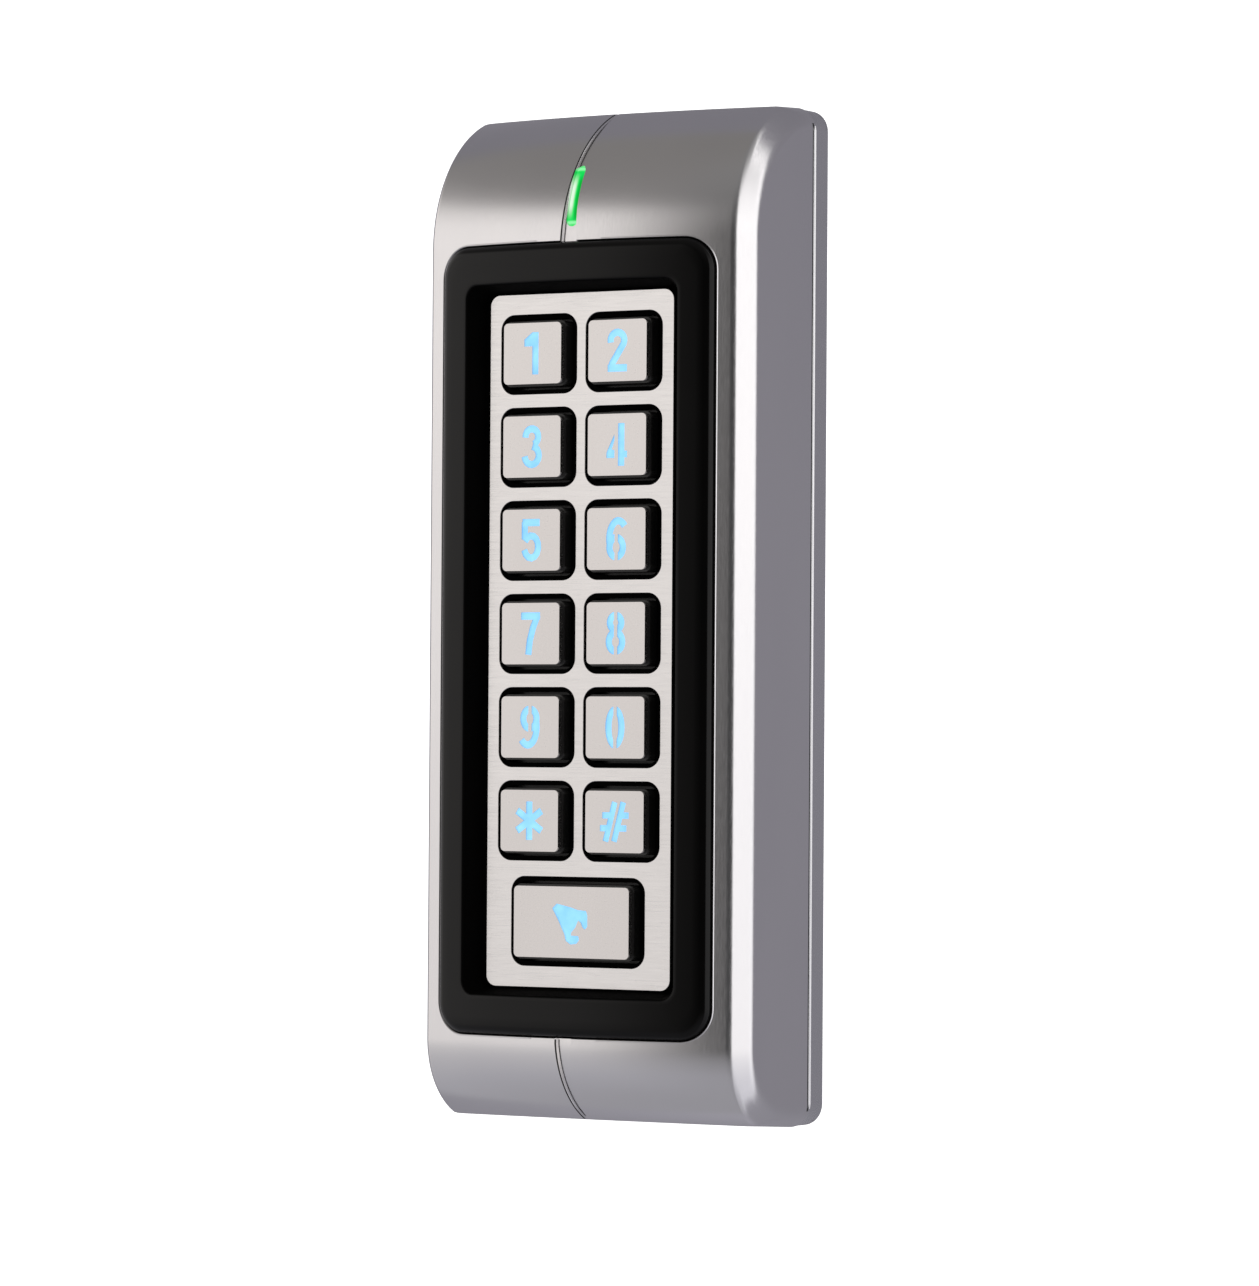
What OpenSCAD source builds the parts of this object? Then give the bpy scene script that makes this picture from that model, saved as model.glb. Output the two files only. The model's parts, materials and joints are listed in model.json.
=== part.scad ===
// Keypad access reader: a die-cast case on a wall plate, with thirteen lit, stencil-cut keys.
// Origin: middle of the face that meets the wall. X runs across, Z up, and the front faces -Y.
// Depths below are measured from the wall towards the front, so a depth d is the plane y = -d.

/* [Case] */
// Height of the case
height = 128; // [126:0.5:132]
// Width of the case
width = 48; // [47:0.5:50]
// Depth of the front face at its crown
crown = 23.4; // [23:0.1:24]
// Radius that the front face is bowed to, side to side
bow_r = 80; // [75:1:100]
// Radius of the roll-over at the top end
top_roll = 18.6; // [18:0.1:19]
// Radius of the roll-over at the bottom end
bottom_roll = 10.8; // [10.6:0.1:11.2]
// Distance from the top end down to where the face starts to roll over
top_fall = 17.7; // [17:0.1:18.5]
// Distance from the bottom end up to where the face starts to roll over
bottom_fall = 10.5; // [10:0.1:11]
// Width of the chamfer along each long side, seen from the front
chamfer_w = 1.7; // [1:0.1:2]
// Depth of the same chamfer, seen from the side
chamfer_d = 2.7; // [2:0.1:3]
// Radius of the four outer corners
corner_r = 2.9; // [2:0.1:3.4]
// Angle that each end leans out towards the wall plate
end_draft = 3.5; // [2:0.5:4]
// Thickness of the cast walls
wall = 2.2; // [2:0.1:2.4]
// Depth of the joint line between the case and the wall plate
seam = 3.4; // [3.2:0.1:3.6]

/* [Bezel and keypad plate] */
// Width of the bezel
bezel_w = 39.9; // [39:0.1:40.2]
// Height of the bezel
bezel_h = 99.5; // [99:0.1:100]
// Middle of the bezel above the middle of the case
bezel_z = -3.05; // [-3.3:0.05:-2.8]
// How far the bezel stands proud of the face
bezel_proud = 0.8; // [0.5:0.1:1]
// Width of the recess in the bezel, at its mouth
recess_w = 30.9; // [30:0.1:31.4]
// Height of the recess in the bezel, at its mouth
recess_h = 89; // [88.6:0.1:89.4]
// Width of the keypad plate
plate_w = 27.1; // [26.6:0.1:27.6]
// Height of the keypad plate
plate_h = 87.1; // [86.6:0.1:87.4]
// Middle of the keypad plate above the middle of the case
plate_z = -3.15; // [-3.3:0.05:-3]
// Depth of the keypad plate's front face
plate_d = 20.05; // [19.9:0.05:20.2]
// Thickness of the keypad plate
plate_t = 0.5; // [0.4:0.1:0.8]

/* [Keys] */
// Distance between the two columns of keys
pitch_x = 12.54; // [12.3:0.01:12.7]
// Distance between rows of keys
pitch_z = 11.72; // [11.6:0.01:11.8]
// Height of the first row above the middle of the case
first_row_z = 32.8; // [32.6:0.1:33]
// Height of the bell key above the middle of the case
bell_z = -38.4; // [-38.6:0.1:-38.2]
// Width of a key cap
cap_w = 8.5; // [8.2:0.1:8.8]
// Height of a key cap
cap_h = 7.7; // [7.4:0.1:8]
// Width of the bell key's cap
bell_w = 16.9; // [16.5:0.1:17.3]
// Height of the bell key's cap
bell_h = 8.9; // [8.6:0.1:9.2]
// Depth of a key cap's face
cap_d = 21.6; // [21.4:0.1:21.8]
// Thickness of the metal in a key cap
cap_t = 0.8; // [0.6:0.1:1]
// Distance a key travels when pressed
travel = 1; // [0.8:0.1:1.2]
// Running gap between a key and its hole
key_gap = 0.35; // [0.3:0.01:0.4]

/* [Light and groove] */
// Width of the groove down the middle of both ends, beside the bezel
groove_w = 2.3; // [2:0.1:2.5]
// Width of the same groove at its tip
groove_tip = 0.5; // [0.3:0.1:0.8]
// Depth of the groove beside the bezel
groove_d = 0.7; // [0.6:0.1:1]
// Middle of the status light above the middle of the case
light_z = 52.3; // [51.8:0.1:52.6]
// Width of the status light
light_w = 1.5; // [1.3:0.1:1.6]
// Length of the status light
light_l = 7.5; // [6:0.1:7.6]

/* [Fixings] */
// Distance between the two wall-screw holes
wall_hole_pitch = 76; // [70:1:80]
// Diameter of the wall-screw holes
wall_hole_dia = 4.2; // [4:0.1:4.5]
// Diameter of the cable hole through the wall plate
cable_hole_dia = 12; // [11:0.5:13]
// Diameter of the cable that the grommet takes
cable_dia = 5; // [4:0.1:5.5]

/* [Hidden] */
$fn = 48;
eps = 0.05;
edge_drop = bow_r - sqrt(bow_r * bow_r - pow(width / 2 - chamfer_w, 2)); // crown to chamfer edge
top_axis_d = crown - top_roll;          // depth of the centre of each roll-over, at the crown
bottom_axis_d = crown - bottom_roll;
top_axis_z = height / 2 - top_fall;
bottom_axis_z = bottom_fall - height / 2;
floor_d = plate_d - plate_t;            // front of the bezel floor
floor_t = 1.55;
ledge_d = floor_d - floor_t - 1;        // the case's ledge that the bezel sits on
ledge_t = 1.5;
board_front_d = ledge_d - ledge_t - 1.3;
board_t = 1.6;
board_back_d = board_front_d - board_t;
board_w = 40;
board_top = 55;
board_bottom = -54;
cover_d = seam + 0.3;                   // back of the inner cover
cover_t = 1.5;
gasket_t = 0.7;
chamber_top = 58;
chamber_bottom = -57;
bulkhead = 1.5;
boss_x = 17.4;
boss_z = [53.4, -53];
rib_z = [44, -44];
skirt_top_d = cap_d - cap_t;
flange_d = floor_d - floor_t - 0.3;     // front of a key's retaining flange
flange_t = 1;
skirt_grow = 0.25;
flange_grow = 1.05;
window_grow = 1.35;
lock_z = 3 - height / 2;
lock_d = 6.4;
lock_dia = 3;
grommet_z = 15;

KEYS = ["1", "2", "3", "4", "5", "6", "7", "8", "9", "0", "star", "hash", "bell"];
BELL = 12;

function key_x(k) = k == BELL ? 0 : (k % 2 - 0.5) * pitch_x;
function key_z(k) = k == BELL ? bell_z : first_row_z - floor(k / 2) * pitch_z;
function key_w(k) = k == BELL ? bell_w : cap_w;
function key_h(k) = k == BELL ? bell_h : cap_h;
function arc(c, rx, rz, a0, a1, n = 12) =
    [for (i = [0:n]) let (a = a0 + (a1 - a0) * i / n) [c.x + rx * cos(a), c.y + rz * sin(a)]];

// ---- shared shapes ----

module rounded_rect(w, h, r) {
    square([w - 2 * r, h], center = true);
    square([w, h - 2 * r], center = true);
    for (x = [-1, 1], z = [-1, 1]) translate([x * (w / 2 - r), z * (h / 2 - r)]) circle(r);
}

// Stands a flat outline up in the XZ plane, from depth d0 out to depth d1
module stand(d0, d1) {
    translate([0, -d0, 0]) rotate([90, 0, 0]) linear_extrude(d1 - d0) children();
}

module slab(w, h, r, d0, d1, x = 0, z = 0) {
    stand(d0, d1) translate([x, z]) rounded_rect(w, h, r);
}

module post(r, d0, d1, x, z) {
    translate([x, -d0, z]) rotate([90, 0, 0]) cylinder(r = r, h = d1 - d0);
}

module at_key(k) {
    translate([key_x(k), 0, key_z(k)]) children();
}

// Side view of the case at its crown, inset by t; x is the distance from the axis of the bow
module side_view(t) {
    intersection() {
        translate([bow_r - crown, t - height / 2]) square([crown, height - 2 * t]);
        union() {
            translate([0, bottom_axis_z]) square([bow_r - t, top_axis_z - bottom_axis_z]);
            translate([bow_r - top_roll, top_axis_z]) circle(top_roll - t, $fn = 128);
            translate([bow_r - bottom_roll, bottom_axis_z]) circle(bottom_roll - t, $fn = 128);
            translate([0, top_axis_z - eps]) square([bow_r - top_roll, top_fall + eps]);
            translate([0, -height / 2]) square([bow_r - bottom_roll, bottom_fall + eps]);
        }
    }
}

// Cross-section that carries the side chamfers; reach runs out to the chamfer's front edge
module chamfer_section(reach, t) {
    half = width / 2 - t;
    over = 5;
    inner = half - chamfer_w - over * chamfer_w / chamfer_d;
    polygon([[0, -half], [reach - chamfer_d - t, -half], [reach + over - t, -inner], [reach + over - t, inner],
             [reach - chamfer_d - t, half], [0, half]]);
}

module chamfer_roll(radius, axis_z, t) {
    translate([0, edge_drop + radius - crown, axis_z]) rotate([0, 90, 0])
        rotate_extrude($fn = 128) chamfer_section(radius, t);
}

// Everything inside the chamfers, following the roll-over at each end
module chamfer_form(t) {
    chamfer_roll(top_roll, top_axis_z, t);
    chamfer_roll(bottom_roll, bottom_axis_z, t);
    translate([0, 0, bottom_axis_z]) rotate([0, 0, -90])
        linear_extrude(top_axis_z - bottom_axis_z) chamfer_section(crown - edge_drop, t);
    for (e = [[top_roll, top_axis_z, top_fall], [bottom_roll, -height / 2, bottom_fall]])
        translate([t - width / 2, edge_drop + e[0] - crown, e[1]])
            cube([width - 2 * t, crown - edge_drop - e[0], e[2]]);
}

// Everything between the two leaning ends
module end_planes(t, back) {
    z0 = height / 2 - t - (back - seam) * tan(end_draft);
    z1 = height / 2 - t - (crown + 1 - seam) * tan(end_draft);
    translate([-width, 0, 0]) rotate([90, 0, 90]) linear_extrude(2 * width)
        polygon([[-back, -z0], [-crown - 1, -z1], [-crown - 1, z1], [-back, z0]]);
}

// The outside of the case, inset by t all round, from the plane at depth back
module case_form(t, back) {
    intersection() {
        end_planes(t, back);
        translate([0, bow_r - crown, 0]) rotate_extrude($fn = 360) side_view(t);
        chamfer_form(t);
        slab(width - 2 * t, height - 2 * t, max(corner_r - t, 0.4), back, crown + 1);
    }
}

// Groove down the middle of one end; it narrows and its floor comes up towards the tip
module groove(reach, axis_d, axis_z, up) {
    z0 = axis_z - up * 0.9;
    z1 = up * (height / 2 + 0.1);
    difference() {
        stand(0, crown + 1) polygon([[-groove_w / 2, z0], [groove_w / 2, z0], [groove_w / 2, axis_z],
            [groove_tip / 2, z1], [-groove_tip / 2, z1], [-groove_w / 2, axis_z]]);
        translate([-groove_w / 2, -axis_d + groove_d * 0.9, axis_z]) rotate([0, 90, 0])
            cylinder(r = reach - groove_d * 0.1, h = groove_w, $fn = 128);
    }
}

module light_slot(grow) {
    translate([0, light_z]) rounded_rect(light_w + grow, light_l + grow, (light_w + grow) / 2 - 0.01);
}

// ---- legends ----

// A stroke of even width along a list of points
module ribbon(pts, w) {
    n = len(pts) - 1;
    side = [for (i = [0:n])
        let (t = pts[min(i + 1, n)] - pts[max(i - 1, 0)]) [-t.y, t.x] / norm(t) * w / 2];
    polygon(concat([for (i = [0:n]) pts[i] + side[i]], [for (i = [n:-1:0]) pts[i] - side[i]]));
}

// Left half of a ring that stops short of its middle, where a bridge holds the ring's centre
module crescent(c, rx, rz, w) {
    bridge = 0.5;
    out = asin(bridge / 2 / (rx + w / 2));
    in = asin(bridge / 2 / (rx - w / 2));
    polygon(concat(arc(c, rx + w / 2, rz + w / 2, 90 + out, 270 - out),
                   arc(c, rx - w / 2, rz - w / 2, 270 - in, 90 + in)));
}

module crescents(z, rx, rz, w) {
    for (s = [0, 1]) mirror([s, 0]) crescent([0, z], rx, rz, w);
}

module six(w) {
    ribbon(concat(arc([0.3, 0], 1.3, 2.25, 45, 90, 4), arc([0.3, 0], 1.3, 2.25, 100, 205)), w);
    crescents(-1.05, 0.98, 1.2, w);
}

module glyph(k, w) {
    name = KEYS[k];
    slant = 0.27;
    if (name == "1")
        polygon([[0.45 + w / 2, 2.65], [0, 2.65], [-1.2, 1.75], [-1.2, 1.35 - w / 2], [0.45 - w / 2, 1.35 - w / 2],
                 [0.45 - w / 2, -2.65], [0.45 + w / 2, -2.65]]);
    if (name == "2") {
        ribbon(concat(arc([0, 1.25], 1, 1, 195, -25), [[-0.75, -1.6], [-1, -2.3]]), w);
        ribbon([[-1.4, -2.2], [1.4, -2.2]], w);
    }
    if (name == "3") {
        ribbon(arc([0, 1.25], 0.95, 1, 185, -70), w);
        ribbon(arc([0, -1.1], 1.05, 1.15, 85, -175), w);
    }
    if (name == "4") {
        ribbon([[0.65, -2.65], [0.65, 2.65]], w);
        ribbon([[0.65, -1.2], [1.5, -1.2]], w * 0.9);
        polygon([[-0.35, 1.3], [-0.35, 0.5], [-0.75, -0.6], [-0.35, -0.7], [-0.35, -1.65], [-1.5, -1.65],
                 [-1.5, -1]]);
    }
    if (name == "5") {
        ribbon([[-1.3, 2.2], [1.25, 2.2]], w);
        ribbon([[-0.95, 2.3], [-0.95, 0.1]], w);
        ribbon(arc([0, -0.85], 1.05, 1.4, 150, -165), w);
    }
    if (name == "6") six(w);
    if (name == "7") {
        ribbon([[-1.4, 2.2], [1.4, 2.2]], w);
        ribbon([[1.05, 2.3], [0.35, 0.7], [-0.1, -0.9], [-0.3, -2.65]], w);
    }
    if (name == "8") {
        crescents(1.3, 0.83, 0.9, w);
        crescents(-1.08, 0.98, 1.17, w);
    }
    if (name == "9") rotate(180) six(w);
    if (name == "0") crescents(0, 0.95, 2.2, w);
    if (name == "star") {
        ribbon([[0, -2.4], [0, 2.4]], w);
        for (s = [-1, 1]) ribbon([[-1.8, -1.25 * s], [1.8, 1.25 * s]], w);
    }
    if (name == "hash") {
        for (s = [-1, 1]) {
            x = s * 0.62;
            ribbon([[x - 2.45 * slant, -2.45], [x + 2.45 * slant, 2.45]], w * 0.9);
            for (z = [-0.8, 0.8]) ribbon([[x + z * slant, z], [x + s * 1.3 + z * 0.2, z]], w * 0.85);
        }
    }
    if (name == "bell")
        polygon([[-2.1, 2.3], [-2.75, 1.7], [-1.9, 0.3], [-0.95, -1.5], [-0.75, -2.3], [-0.05, -2.75],
                 [0.8, -2.65], [1.2, -2.2], [1.1, -1.7], [0, -1.65], [0.05, -1.25], [0.65, -0.6],
                 [1.05, 0.25], [1.45, 0], [1.7, -0.6], [2.05, -0.85], [2.4, -0.5], [2.4, 0.9],
                 [2.2, 1.45], [1, 1.55], [0, 1.85]]);
}

// ---- keys ----

module key_cap(k) {
    color("gainsboro") at_key(k) difference() {
        slab(key_w(k), key_h(k), 0.6, skirt_top_d, cap_d);
        stand(skirt_top_d - 1, cap_d + 1) glyph(k, 0.9);
    }
}

module key_legend(k) {
    color("skyblue") at_key(k) {
        slab(key_w(k) - 2.2, key_h(k) - 2.2, 0.5, flange_d - flange_t, skirt_top_d);
        stand(skirt_top_d - eps, cap_d - 0.15) glyph(k, 0.86);
    }
}

module key_carrier(k) {
    color("black") at_key(k) difference() {
        union() {
            slab(key_w(k) + 2 * skirt_grow, key_h(k) + 2 * skirt_grow, 0.8, flange_d - eps, skirt_top_d);
            slab(key_w(k) + 2 * flange_grow, key_h(k) + 2 * flange_grow, 1, flange_d - flange_t, flange_d);
        }
        slab(key_w(k) - 2.2, key_h(k) - 2.2, 0.5, flange_d - flange_t - 1, cap_d);
    }
}

// ---- case and trim ----

module front_housing() {
    well_w = bezel_w + 3;
    well_h = bezel_h + 3.4;
    color("silver") difference() {
        union() {
            difference() {
                case_form(0, seam);
                intersection() {
                    case_form(wall, seam);
                    translate([-width / 2, -crown, chamber_bottom])
                        cube([width, crown, chamber_top - chamber_bottom]);
                }
                // pockets at the two ends for the wall plate's hooks and lock tab
                translate([-16, -9, chamber_top + bulkhead])
                    cube([32, 9, height / 2 - wall - chamber_top - bulkhead]);
                translate([-8, -9, wall - height / 2])
                    cube([16, 9, chamber_bottom - bulkhead + height / 2 - wall]);
                slab(width - 2 * wall, chamber_top - chamber_bottom, 0.5, seam - 1, cover_d + cover_t + gasket_t,
                     0, (chamber_top + chamber_bottom) / 2);
            }
            intersection() {
                case_form(0.4, seam);
                union() {
                    slab(well_w, well_h, 5, ledge_d - ledge_t, crown, 0, bezel_z);
                    // step that the sealing gasket is pressed against
                    difference() {
                        slab(width - 2 * wall + 0.4, chamber_top - chamber_bottom + 0.4, 0.5,
                             cover_d + cover_t + gasket_t, cover_d + cover_t + gasket_t + 1.4,
                             0, (chamber_top + chamber_bottom) / 2);
                        slab(width - 2 * wall - 2.8, chamber_top - chamber_bottom - 2.8, 2,
                             cover_d, ledge_d, 0, (chamber_top + chamber_bottom) / 2);
                    }
                    for (x = [-1, 1], z = boss_z)
                        post(2.5, cover_d + cover_t + gasket_t, crown - wall, x * boss_x, z);
                    // tube round the status light's stem
                    slab(4, light_l + 3, 1.9, board_front_d + 1.6, crown, 0, light_z);
                }
            }
        }
        slab(bezel_w + 0.1, bezel_h + 0.1, 4.05, ledge_d, crown + 2, 0, bezel_z);
        slab(bezel_w - 4, bezel_h - 4, 2, ledge_d - ledge_t - 1, crown, 0, bezel_z);
        for (x = [-1, 1], z = boss_z) post(1.1, cover_d, cover_d + 10, x * boss_x, z);
        groove(top_roll, top_axis_d, top_axis_z, 1);
        groove(bottom_roll, bottom_axis_d, bottom_axis_z, -1);
        stand(board_front_d, crown) light_slot(0.06);
        // clearance and head recess for the locking screw
        translate([0, -lock_d, -height / 2 - 1]) cylinder(d = lock_dia + 0.4, h = 5);
        translate([0, -lock_d, -height / 2 - 1]) cylinder(d = 5.8, h = 2.5);
    }
}

module bezel() {
    color("black") difference() {
        intersection() {
            slab(bezel_w, bezel_h, 4, ledge_d, crown + 2, 0, bezel_z);
            translate([0, bow_r - crown, -height / 2]) cylinder(r = bow_r + bezel_proud, h = height, $fn = 240);
        }
        // the recess narrows a little towards the keypad plate
        hull() {
            slab(recess_w, recess_h, 1.6, crown + 2, crown + 2 + eps, 0, bezel_z);
            slab(recess_w - 2, plate_h + 0.3, 1.2, floor_d, floor_d + eps, 0, plate_z);
        }
        for (k = [0:BELL]) at_key(k)
            slab(key_w(k) + 2 * (skirt_grow + key_gap), key_h(k) + 2 * (skirt_grow + key_gap), 1,
                 ledge_d - 1, crown);
        slab(recess_w - 2, recess_h - 1, 1.5, ledge_d - 1, floor_d - floor_t, 0, bezel_z);
    }
}

module keypad_plate() {
    color("lightgray") difference() {
        slab(plate_w, plate_h, 1.4, floor_d, plate_d, 0, plate_z);
        for (k = [0:BELL]) at_key(k)
            slab(key_w(k) + 2 * window_grow, key_h(k) + 2 * window_grow - 0.4, 1.9, floor_d - 1, plate_d + 1);
    }
}

module status_light_pipe() {
    color("limegreen") intersection() {
        stand(board_front_d + 1.4, crown) light_slot(0);
        translate([-width / 4, -top_axis_d, top_axis_z]) rotate([0, 90, 0])
            cylinder(r = top_roll - 0.4, h = width / 2, $fn = 128);
    }
}

// ---- electronics ----

module keypad_mat() {
    color("dimgray") difference() {
        union() {
            slab(bezel_w - 2, bezel_h - 5, 2, board_front_d, board_front_d + 1.3, 0, bezel_z);
            for (k = [0:BELL]) at_key(k) post(3, board_front_d + 1, flange_d - flange_t - 0.1, 0, 0);
        }
        for (k = [0:BELL]) at_key(k) post(2, board_front_d - 1, board_front_d + 1.7, 0, 0);
    }
}

module main_board() {
    h = board_top - board_bottom;
    color("darkgreen") difference() {
        slab(board_w, h, 1, board_back_d, board_front_d, 0, board_top - h / 2);
        for (x = [-1, 1], z = boss_z) post(3, board_back_d - 1, board_front_d + 1, x * boss_x, z);
        for (x = [-1, 1], z = boss_z)
            translate([x * (boss_x + 3) - 3, -board_front_d - 1, z + sign(z) * 3 - 3]) cube([6, board_t + 2, 6]);
    }
}

module backlight_leds() {
    color("lightyellow") for (k = [0:BELL]) at_key(k)
        translate([-0.8, -board_front_d - 0.7, -0.5]) cube([1.6, 0.7, 1]);
}

module status_led() {
    color("palegreen") translate([-0.7, -board_front_d - 1.1, light_z - 1]) cube([1.4, 1.1, 2]);
}

module board_chips() {
    color("black")
        for (c = [[-8, 30, 9, 9], [8, 34, 5, 4], [9, 24, 4, 5], [-12, -30, 5, 6]])
            translate([c[0] - c[2] / 2, -board_back_d, c[1] - c[3] / 2]) cube([c[2], 1.4, c[3]]);
}

module capacitors() {
    color("silver") for (c = [[-9, -14], [-9, -22]]) {
        post(3.1, board_back_d - 5.6, board_back_d, c[0], c[1]);
    }
}

module relay() {
    color("white") translate([2, -board_back_d, -36]) cube([12, 6.8, 15]);
}

module buzzer() {
    color("black") difference() {
        post(5.9, board_back_d - 5.4, board_back_d, 10, -8);
        post(0.9, board_back_d - 6, board_back_d - 2, 10, -8);
    }
}

module antenna_coil() {
    color("peru") difference() {
        slab(36, 84, 3, board_back_d - 0.9, board_back_d, 0, 0);
        slab(33, 81, 2, board_back_d - 2, board_back_d + 1, 0, 0);
    }
}

// ---- back ----

module inner_cover() {
    mid = (chamber_top + chamber_bottom) / 2;
    color("darkslategray") difference() {
        union() {
            slab(width - 2 * wall - 0.4, chamber_top - chamber_bottom - 0.4, 1, cover_d, cover_d + cover_t, 0, mid);
            for (x = [-1, 1], z = rib_z) post(1.5, cover_d, board_back_d, x * 19, z);
        }
        for (x = [-1, 1], z = boss_z) post(1.5, cover_d - 1, cover_d + 3, x * boss_x, z);
        post(cable_dia / 2 + 1.5, cover_d - 1, cover_d + 3, 0, grommet_z);
    }
}

module sealing_gasket() {
    mid = (chamber_top + chamber_bottom) / 2;
    ring_w = width - 2 * wall - 0.4;
    ring_h = chamber_top - chamber_bottom - 0.4;
    color("black") difference() {
        slab(ring_w, ring_h, 1, cover_d + cover_t, cover_d + cover_t + gasket_t, 0, mid);
        slab(ring_w - 2.4, ring_h - 2.4, 1.8, cover_d, cover_d + 4, 0, mid);
    }
}

module cable_grommet() {
    r = cable_dia / 2;
    color("black") translate([0, -cover_d - cover_t - 1, grommet_z]) rotate([-90, 0, 0])
        rotate_extrude() polygon([[r, 0], [r + 2.6, 0], [r + 2.6, 1], [r + 1.5, 1], [r + 1.5, 1 + cover_t],
            [r + 2.6, 1 + cover_t], [r + 1.8, 2.6 + cover_t], [r, 2.6 + cover_t]]);
}

module back_cover() {
    plate_back = 1.6;
    color("gray") difference() {
        union() {
            slab(width - 0.2, height - 0.2, corner_r - 0.1, 0, plate_back);
            difference() {
                slab(width - 0.2, height - 0.2, corner_r - 0.1, 0, seam);
                slab(width - 4.4, height - 4.4, 1, plate_back, seam + 1);
            }
            // hooks that hang the case, and the tab that the locking screw bites into
            for (x = [-1, 1]) {
                translate([x * 10 - 2.5, -6.6, height / 2 - wall - 2]) cube([5, 6, 1.4]);
                translate([x * 10 - 2.5, -8, height / 2 - wall - 2]) cube([5, 1.4, 1.7]);
            }
            translate([-5, -8.8, wall + 0.3 - height / 2]) cube([10, 8.8, 2.6]);
        }
        for (z = [-1, 1]) {
            post(wall_hole_dia / 2, -1, plate_back + 1, 0, z * wall_hole_pitch / 2);
        }
        post(cable_hole_dia / 2, -1, plate_back + 1, 0, grommet_z);
        translate([0, -lock_d, -height / 2]) cylinder(d = lock_dia, h = 8);
    }
}

module cover_screws() {
    color("dimgray") for (x = [-1, 1], z = boss_z)
        translate([x * boss_x, -cover_d, z]) rotate([90, 0, 0]) difference() {
            union() {
                cylinder(r = 1.1, h = 8);
                translate([0, 0, -1.3]) cylinder(r = 2.1, h = 1.3);
            }
            for (a = [0, 90]) rotate(a) translate([-1.2, -0.25, -2]) cube([2.4, 0.5, 1.4]);
        }
}

module locking_screw() {
    color("dimgray") translate([0, -lock_d, -height / 2 + 0.5]) difference() {
        union() {
            cylinder(d = lock_dia, h = 4.9);
            cylinder(d = 5.4, h = 1);
        }
        translate([0, 0, -1]) cylinder(d = 2.4, h = 1.7, $fn = 6);
    }
}

front_housing();
bezel();
keypad_plate();
status_light_pipe();
keypad_mat();
main_board();
backlight_leds();
status_led();
board_chips();
capacitors();
relay();
buzzer();
antenna_coil();
inner_cover();
sealing_gasket();
cable_grommet();
back_cover();
cover_screws();
locking_screw();
for (k = [0:BELL]) {
    key_cap(k);
    key_legend(k);
    key_carrier(k);
}
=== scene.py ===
"""Keypad access reader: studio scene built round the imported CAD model.

The reader hangs upright with its wall face on the plane Y = 0 and its keypad facing -Y.
"""
import json
import math

import bmesh
import bpy
from mathutils import Matrix, Vector


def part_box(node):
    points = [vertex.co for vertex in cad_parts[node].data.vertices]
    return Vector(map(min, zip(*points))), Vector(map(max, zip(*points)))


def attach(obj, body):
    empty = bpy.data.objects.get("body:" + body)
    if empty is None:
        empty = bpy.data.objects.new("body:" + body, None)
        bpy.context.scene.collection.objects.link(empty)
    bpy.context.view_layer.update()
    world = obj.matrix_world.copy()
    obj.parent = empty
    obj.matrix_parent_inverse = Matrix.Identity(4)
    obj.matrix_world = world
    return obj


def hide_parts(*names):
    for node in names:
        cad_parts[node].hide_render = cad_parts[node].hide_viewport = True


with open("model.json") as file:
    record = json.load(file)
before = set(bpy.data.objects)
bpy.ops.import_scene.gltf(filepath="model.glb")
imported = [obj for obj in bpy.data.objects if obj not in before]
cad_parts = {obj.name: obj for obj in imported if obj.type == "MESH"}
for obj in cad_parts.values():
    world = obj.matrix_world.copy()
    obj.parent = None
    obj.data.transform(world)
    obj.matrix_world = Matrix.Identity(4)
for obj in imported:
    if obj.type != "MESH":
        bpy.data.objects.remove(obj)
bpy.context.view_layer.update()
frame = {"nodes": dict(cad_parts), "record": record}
NODES = frame["nodes"]
MM = 0.001
KEYS = ["1", "2", "3", "4", "5", "6", "7", "8", "9", "0", "star", "hash", "bell"]

# ---- shape of the case, in millimetres; depths are measured from the wall ----

case_lo, case_hi = (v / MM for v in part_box("front_housing"))
bezel_lo, bezel_hi = (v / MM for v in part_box("bezel"))
plate_lo, plate_hi = (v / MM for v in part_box("keypad_plate"))
pipe_lo, pipe_hi = (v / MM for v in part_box("status_light_pipe"))

HALF_W = case_hi.x
HALF_H = case_hi.z
SEAM = -case_hi.y                # joint between the case and the wall plate
CROWN = -case_lo.y               # deepest point of the bowed face
BOW_R = 80.0
TOP_ROLL, TOP_FALL = 18.6, 17.7  # radius of an end's roll-over, and its axis below the end
BOTTOM_ROLL, BOTTOM_FALL = 10.8, 10.5
CHAMFER_W, CHAMFER_D = 1.7, 2.7
CORNER_R = 2.9
DRAFT = math.tan(math.radians(3.5))  # how far each end leans out towards the wall
WALL = 2.2
JOINT_GAP, JOINT_IN, JOINT_END = 0.60, 0.5, 61.9  # the open joint line down each side
GROOVE_W, GROOVE_TIP, GROOVE_D = 2.35, 0.5, 0.5
LENS_DROP, LENS_RISE = 0.65, 0.2  # how deep the light lies, and how much less so on top
LIGHT_W, LIGHT_L = pipe_hi.x - pipe_lo.x, pipe_hi.z - pipe_lo.z
LIGHT_Z = (pipe_hi.z + pipe_lo.z) / 2
PROUD = -bezel_lo.y - CROWN      # how far the bezel stands proud of the face
PLATE_D = -plate_lo.y            # front of the keypad plate
FLOOR_D = -plate_hi.y            # bezel floor under the plate
FLOOR_T = 1.55
RECESS_W, RECESS_H = 30.9, 89.0
BEZEL_SHORTER = 0.4              # than the CAD bezel, to meet the photograph's edge
BEZEL_W, BEZEL_H = bezel_hi.x - bezel_lo.x, bezel_hi.z - bezel_lo.z - BEZEL_SHORTER
BEZEL_Z = (bezel_hi.z + bezel_lo.z) / 2 - 0.05
BEZEL_R = 4                      # the bezel's corners, seen from the front
LEDGE_D = -bezel_hi.y
SEAT_GAP = 0.08                  # between the bezel and its opening in the case
KEY_SKIRT = 0.5                  # how much wider than its cap a key's carrier is


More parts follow.
